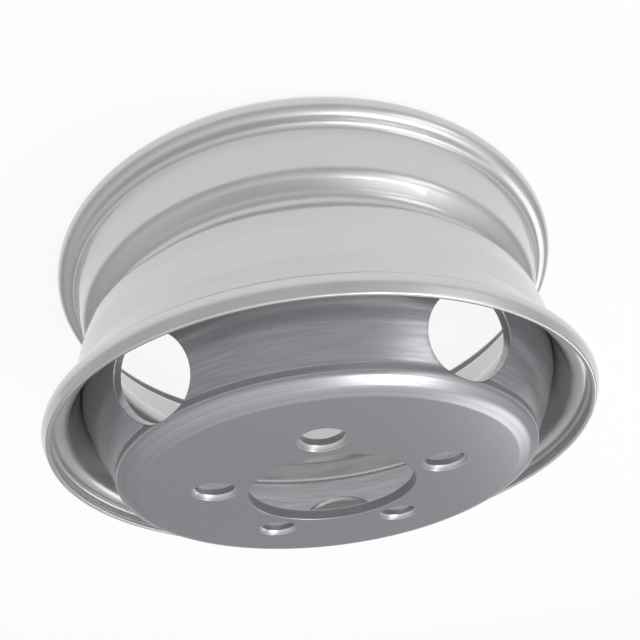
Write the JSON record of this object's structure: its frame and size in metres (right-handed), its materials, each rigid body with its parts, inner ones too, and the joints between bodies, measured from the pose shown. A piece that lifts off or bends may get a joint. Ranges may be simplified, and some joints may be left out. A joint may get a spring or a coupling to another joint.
{
  "type": "steel wheel rim",
  "caption": "Welded steel wheel: a rolled drop-centre rim with curled flanges around a deep spun disc with a hub bore, ball-seat bolt holes and oval hand holes.",
  "frame": {"origin": "on the axle line, in the plane of the floor that the inner flange lip lies on", "axes": "+Z along the axle from the inner flange up to the outer face of the disc, -Y through a bolt hole, +Y through a hand hole"},
  "size_m": [0.472, 0.4718, 0.205],
  "materials": {
    "rim_paint": "gloss silver paint on rolled sheet",
    "disc_paint": "satin silver paint over spun rings",
    "weld_paint": "satin silver paint over weld ripples"
  },
  "bodies": {
    "root": {"rim": "rim_paint", "disc": "disc_paint", "weld_bead": "weld_paint"}
  },
  "joints": []
}
